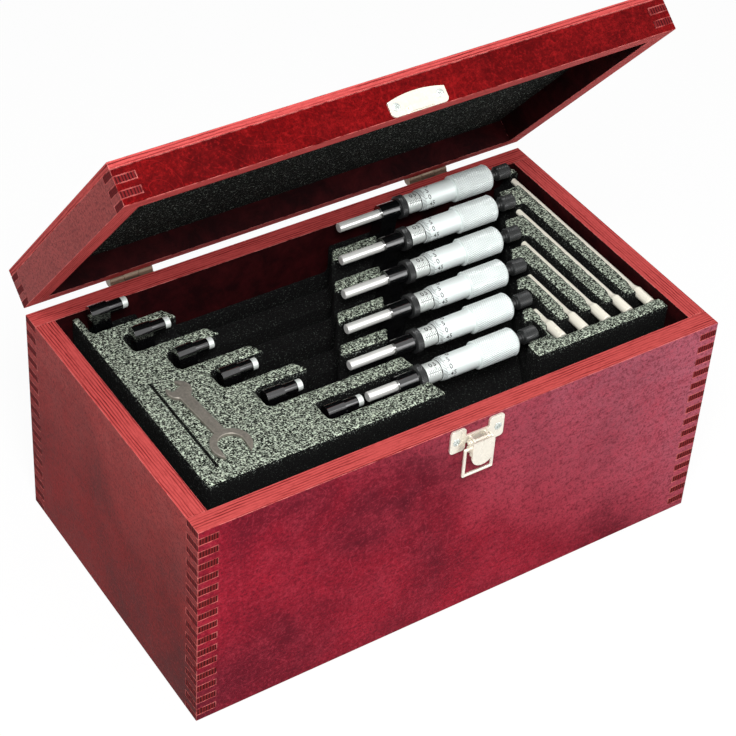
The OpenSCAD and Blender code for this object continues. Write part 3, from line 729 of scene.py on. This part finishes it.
def mic_lock_ring(mic):
    x0, x1, r = mic.lock
    bore = BOSS_R + FREE
    bm = bmesh.new()
    lathe(bm, plain((x0, bore), (x0, r - 0.9 * MM), (x0 + 0.35 * MM, r - 0.3 * MM), (x0 + 0.4 * MM, r)) +
          knurled(x0 + 0.5 * MM, x1 - 0.5 * MM, r, RING_KNURL, RING_STEP) +
          plain((x1 - 0.4 * MM, r), (x1 - 0.35 * MM, r - 0.3 * MM), (x1, r - 0.9 * MM), (x1, bore)),
          mic.centre, 192, True)
    mic_piece(mic, "_clamp_ring", bm, "black_steel", "_lock", "_lock_ring")


def mic_spindle(mic):
    x0, x1, r = mic.spindle
    turned = r - 0.06 * MM
    bm = bmesh.new()
    lathe(bm, plain((x0, r - 0.3 * MM), (x0 + 0.3 * MM, r), (x0 + 2.4 * MM, r), (x0 + 2.45 * MM, turned),
                    (x0 + 2.6 * MM, turned), (x0 + 2.65 * MM, r), (x1, r)), mic.centre, 72)
    mic_piece(mic, "_measuring_rod", bm, "ground", "_spindle", "_spindle", SHARP)


def mic_ratchet(mic):
    x0, x1, r = mic.ratchet
    knob, end = x1 - KNOB_L, mic.thimble[1]
    collar, flange = NECK_R + 0.7 * MM, NECK_R + 0.5 * MM
    bm = bmesh.new()
    lathe(bm, plain((x0, NECK_R), (end + 0.2 * MM, NECK_R), (end + 0.3 * MM, collar),
                    (end + 1.7 * MM, collar), (end + 1.9 * MM, NECK_R), (knob - 1.2 * MM, NECK_R),
                    (knob - 1.0 * MM, flange), (knob, flange), (knob, r - 0.7 * MM),
                    (knob + 0.5 * MM, r - 0.1 * MM)) +
          knurled(knob + 0.6 * MM, x1 - 0.7 * MM, r, KNOB_KNURL, RING_STEP) +
          plain((x1 - 0.5 * MM, r - 0.1 * MM), (x1 - 0.1 * MM, r - 0.7 * MM), (x1, r - 1.1 * MM),
                (x1, 1.6 * MM), (x1 - 0.35 * MM, 1.5 * MM)), mic.centre, 132)
    mic_piece(mic, "_friction_knob", bm, "black_steel", "_ratchet", "_ratchet")


def thimble_radius(x, x0):
    return EDGE_R + (THIMBLE_R - EDGE_R) * min(1, max(0, (x - x0) / EDGE_L))


def round_the_axis(mic, x, r, angle):
    return x, mic.centre[0] + r * math.cos(angle), mic.centre[1] + r * math.sin(angle)


def mark(bm, mic, places, angle, width, radius):
    """A thin inked bar at the listed places along X; radius is a function of x."""
    rings = []
    for x in places:
        half = width / 2 / radius(x)
        out, under = radius(x) + MARK_OUT, radius(x) - MARK_IN
        corners = ((out, -half), (out, half), (under, half), (under, -half))
        rings.append([bm.verts.new(round_the_axis(mic, x, r, angle + a)) for r, a in corners])
    for a, b in zip(rings, rings[1:]):
        for i in range(4):
            j = (i + 1) % 4
            bm.faces.new((a[i], a[j], b[j], b[i]))
    bm.faces.new(rings[0])
    bm.faces.new(rings[-1])


def digits(bm, text, mic, x, angle, radius):
    """Wraps a number round the barrel, its foot towards smaller angles."""
    curve = bpy.data.curves.new("digits", "FONT")
    curve.body, curve.size = text, DIGIT_H * 1.35
    curve.align_x, curve.align_y = "LEFT", "CENTER"
    curve.extrude = (MARK_OUT + MARK_IN) / 2
    curve.resolution_u = 3
    curve.offset = DIGIT_BOLD
    obj = bpy.data.objects.new("digits", curve)
    mesh = bpy.data.meshes.new_from_object(obj)
    for v in mesh.vertices:
        r = radius + v.co.z + (MARK_OUT - MARK_IN) / 2
        v.co = round_the_axis(mic, x + v.co.x, r, angle - v.co.y / radius)
    bm.from_mesh(mesh)
    bpy.data.meshes.remove(mesh)
    bpy.data.objects.remove(obj)
    bpy.data.curves.remove(curve)


def thimble_marks(mic):
    """Fifty divisions with a number at every fifth, and a dark ring where the thimble's edge starts, which is
    a painted shadow.
    """
    x0 = mic.thimble[0]
    bm = bmesh.new()
    for i in range(DIVISIONS):
        end = x0 + (3.4 if i % 5 == 0 else 2.3) * MM
        angle = DATUM - TAU * i / DIVISIONS
        mark(bm, mic, (x0 + 0.1 * MM, x0 + EDGE_L, end), angle, MARK_W, lambda x: thimble_radius(x, x0))
    for i in range(0, DIVISIONS, 5):
        digits(bm, str(i), mic, x0 + 4.0 * MM, DATUM - TAU * i / DIVISIONS, THIMBLE_R)
    # Painted shadow: a dark ring over the sleeve, just left of the thimble's edge, where the edge casts its
    # shade.
    under, over = SLEEVE_R + 0.06 * MM, SLEEVE_R + 0.18 * MM
    left, right = x0 - 0.35 * MM, x0 + 0.02 * MM
    lathe(bm, plain((left, under), (left, over), (right, over), (right, under)), mic.centre, 64, True)
    new_piece(mic.name + "_barrel_marks", bm, "ink", mic.name + "_thimble")


def sleeve_marks(mic):
    """The datum line, half millimetres on its two sides, and numbers."""
    x0, x1 = mic.lock[1] + 1.0 * MM, mic.thimble[0] + 3 * MM
    bm = bmesh.new()
    mark(bm, mic, (x0, x1), DATUM, MARK_W, lambda x: SLEEVE_R)
    for i in range(25):
        x = mic.thimble[0] + 2 * MM - i * SLEEVE_DIVISION
        if x < x0 + 0.3 * MM:
            break
        side, length = (-1, 2.4 if i % 10 == 0 else 1.6) if i % 2 == 0 else (1, 1.4)
        steps = 5
        for j in range(steps):
            a = DATUM + side * (j + 0.5) * length * MM / steps / SLEEVE_R
            mark(bm, mic, (x - MARK_W / 2, x + MARK_W / 2), a, length * MM / steps, lambda x: SLEEVE_R)
    for i, text in enumerate(("10", "5")):
        digits(bm, text, mic, x0 + (0.3 + 4.2 * i) * MM, DATUM - 4.3 * MM / SLEEVE_R, SLEEVE_R)
    new_piece(mic.name + "_sleeve_marks", bm, "ink", mic.name)


def make_micrometers():
    for k in MICS:
        mic = Mic(k)
        soften(mic.name + "_frame", mic.name + "_bow", "enamel", mic.name, BOW_EDGE, 3)
        mic_thimble(mic)
        mic_sleeve(mic)
        mic_lock_ring(mic)
        mic_spindle(mic)
        mic_ratchet(mic)
        thimble_marks(mic)
        sleeve_marks(mic)


# Standards, spanner, hinges and latch

STANDARD_R, HEAD_R = 1.7 * MM, 2.8 * MM
HEAD_L, TAPER_L, CHAMFER = 12 * MM, 3 * MM, 0.4 * MM
FITTING_EDGE, KEEPER_EDGE = 0.22 * MM, 0.25 * MM
SCREW_R, SCREW_SHANK, SCREW_HEAD, SCREW_RIM, SCREW_DOME = 2.2 * MM, 1.2 * MM, 0.7 * MM, 0.2 * MM, 0.5 * MM
CROSS_L, CROSS_W, CROSS_DEEP = 1.35 * MM, 0.33 * MM, 0.55 * MM


def turn_to_y(bm, centre):
    """Lays a bmesh that was turned about X along Y instead, through a centre at (x, z)."""
    for v in bm.verts:
        v.co = (centre[0] + v.co.y, v.co.x, centre[1] + v.co.z)


def island_boxes(node, matrix=Matrix()):
    """The boxes of a node's separate solids, seen through a matrix."""
    bm = bmesh.new()
    bm.from_mesh(NODES[node].data)
    bmesh.ops.remove_doubles(bm, verts=bm.verts, dist=WELD)
    seen, boxes = set(), []
    for start in bm.verts:
        if start in seen:
            continue
        stack, island = [start], []
        seen.add(start)
        while stack:
            v = stack.pop()
            island.append(matrix @ v.co)
            for e in v.link_edges:
                w = e.other_vert(v)
                if w not in seen:
                    seen.add(w)
                    stack.append(w)
        boxes.append(box_of(island))
    bm.free()
    return boxes


def make_standards():
    whole = bmesh.new()
    for lo, hi in island_boxes("length_standards"):
        bm = bmesh.new()
        y0, y1, head = lo.y, hi.y, lo.y + HEAD_L
        lathe(bm, plain((y0, HEAD_R - CHAMFER), (y0 + CHAMFER, HEAD_R), (head, HEAD_R),
                        (head + 0.2 * MM, HEAD_R - 0.15 * MM), (head + TAPER_L, STANDARD_R),
                        (y1 - CHAMFER, STANDARD_R), (y1, STANDARD_R - CHAMFER)), (0, 0), 40)
        turn_to_y(bm, ((lo.x + hi.x) / 2, (lo.z + hi.z) / 2))
        mesh = bpy.data.meshes.new("standard")
        bm.to_mesh(mesh)
        bm.free()
        whole.from_mesh(mesh)
        bpy.data.meshes.remove(mesh)
    obj = new_piece("gauge_rods", whole, "ground_rod", "standards", ("length_standards",))
    finish_smooth(obj, 20)


def screw_rings(bm, lo, hi, turn):
    """One screw along Y with a cross recess in its domed head, which is at the end far from y = 0."""
    out = 1 if lo.y + hi.y > 0 else -1
    tip, top = (lo.y, hi.y) if out > 0 else (hi.y, lo.y)
    under = top - out * SCREW_HEAD
    mid = Vector(((lo.x + hi.x) / 2, 0, (lo.z + hi.z) / 2))
    segments, steps = 72, 16
    profile = [(SCREW_SHANK, tip), (SCREW_SHANK, under), (SCREW_R, under), (SCREW_R, under + out * SCREW_RIM)]
    profile += [(SCREW_R * (1 - i / steps), None) for i in range(1, steps)]
    rings = []
    for r, y in profile:
        ring = []
        for i in range(segments):
            a = TAU * i / segments
            u, v = r * math.cos(a - turn), r * math.sin(a - turn)
            level = y
            if y is None:
                crossed = max(abs(u), abs(v)) < CROSS_L and min(abs(u), abs(v)) < CROSS_W
                level = top - out * (SCREW_DOME * (r / SCREW_R) ** 3 + (CROSS_DEEP if crossed else 0))
            ring.append(bm.verts.new((mid.x + r * math.cos(a), level, mid.z + r * math.sin(a))))
        rings.append(ring)
    for a, b in zip(rings, rings[1:]):
        for i in range(segments):
            j = (i + 1) % segments
            bm.faces.new((a[i], a[j], b[j], b[i]))
    bm.faces.new(rings[0])
    bm.faces.new(rings[-1])


def make_screws(node, name, body, seen, placed=None):
    bm = bmesh.new()
    for i, (lo, hi) in enumerate(island_boxes(node, seen)):
        screw_rings(bm, lo, hi, 0.4 + 1.1 * i)
    obj = new_piece(name, bm, "screw", body, (node,), placed)
    finish_smooth(obj, 30)


def make_fittings():
    make_screws("base_screws", "cross_screws_base", "base", Matrix())
    make_screws("lid_screws", "cross_screws_lid", "lid", SHUT, LID)
    soften("adjusting_spanner", "flat_spanner", "tool", "spanner", KEEPER_EDGE)
    for node, name, mat, body in (("hinge_leaves_base", "hinge_plates_base", "hinge", "base"),
                                  ("hinge_leaves_lid", "hinge_plates_lid", "hinge", "lid"),
                                  ("latch_plate", "catch_plate", "nickel", "base"),
                                  ("latch_lever", "catch_lever", "nickel", "lever")):
        soften(node, name, mat, body, FITTING_EDGE)
    soften("keeper_plate", "catch_keeper", "nickel", "lid", KEEPER_EDGE)
    paint("hinge_pins", "hinge")
    paint("latch_bail", "nickel")


def make_stage():
    """A floor that looks white to the camera and in metal, and still takes the object's shadow."""
    mesh = bpy.data.meshes.new("floor")
    corners = [(FLOOR_HALF * x, FLOOR_HALF * y, 0) for x, y in ((-1, -1), (1, -1), (1, 1), (-1, 1))]
    mesh.from_pydata(corners, [], [(0, 1, 2, 3)])
    floor = bpy.data.objects.new("floor", mesh)
    floor.location.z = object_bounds()[0].z - FLOOR_GAP
    bpy.context.scene.collection.objects.link(floor)
    s = Shader("stage_floor")
    rays = s.node("ShaderNodeLightPath")
    glow = s.node("ShaderNodeEmission")
    glow.inputs["Strength"].default_value = 1.0
    blend = s.node("ShaderNodeMixShader")
    seen = s.math("MAXIMUM", rays.outputs["Is Camera Ray"], rays.outputs["Is Glossy Ray"])
    seen = s.math("MAXIMUM", seen, rays.outputs["Is Transmission Ray"])
    s.put(blend.inputs[0], s.math("MULTIPLY", seen, FLOOR_SEEN))
    s.look(srgb(236, 236, 236), 0.8)
    s.tree.links.new(s.bsdf.outputs[0], blend.inputs[1])
    s.tree.links.new(glow.outputs[0], blend.inputs[2])
    s.tree.links.new(blend.outputs[0], s.tree.nodes["Material Output"].inputs[0])
    mesh.materials.append(s.mat)


def make_world():
    """White to the camera and in metal, and a dim plain light on all else."""
    world = bpy.data.worlds.new("world")
    bpy.context.scene.world = world
    world.use_nodes = True
    tree = world.node_tree
    back = tree.nodes["Background"]
    rays = tree.nodes.new("ShaderNodeLightPath")
    strength = tree.nodes.new("ShaderNodeMapRange")
    seen = rays.outputs["Is Camera Ray"]
    for kind in ("Is Glossy Ray", "Is Transmission Ray"):
        either = tree.nodes.new("ShaderNodeMath")
        either.operation = "MAXIMUM"
        tree.links.new(seen, either.inputs[0])
        tree.links.new(rays.outputs[kind], either.inputs[1])
        seen = either.outputs[0]
    tree.links.new(seen, strength.inputs[0])
    strength.inputs["To Min"].default_value = WORLD_LIGHT
    strength.inputs["To Max"].default_value = WORLD_SEEN
    tree.links.new(strength.outputs[0], back.inputs["Strength"])
    back.inputs["Color"].default_value = (1, 1, 1, 1)


def make_lights():
    area_light("key", (-0.42, -0.66, 1.12), (0.4, 0.4), 20)
    area_light("fill", (0.9, -0.9, 0.6), (0.8, 0.8), 5)
    area_light("top", (0.1, -0.1, 1.4), (0.6, 0.4), 1.5)


make_camera()
make_world()
make_lights()
make_shell()
make_foam()
make_micrometers()
make_standards()
make_fittings()
make_stage()
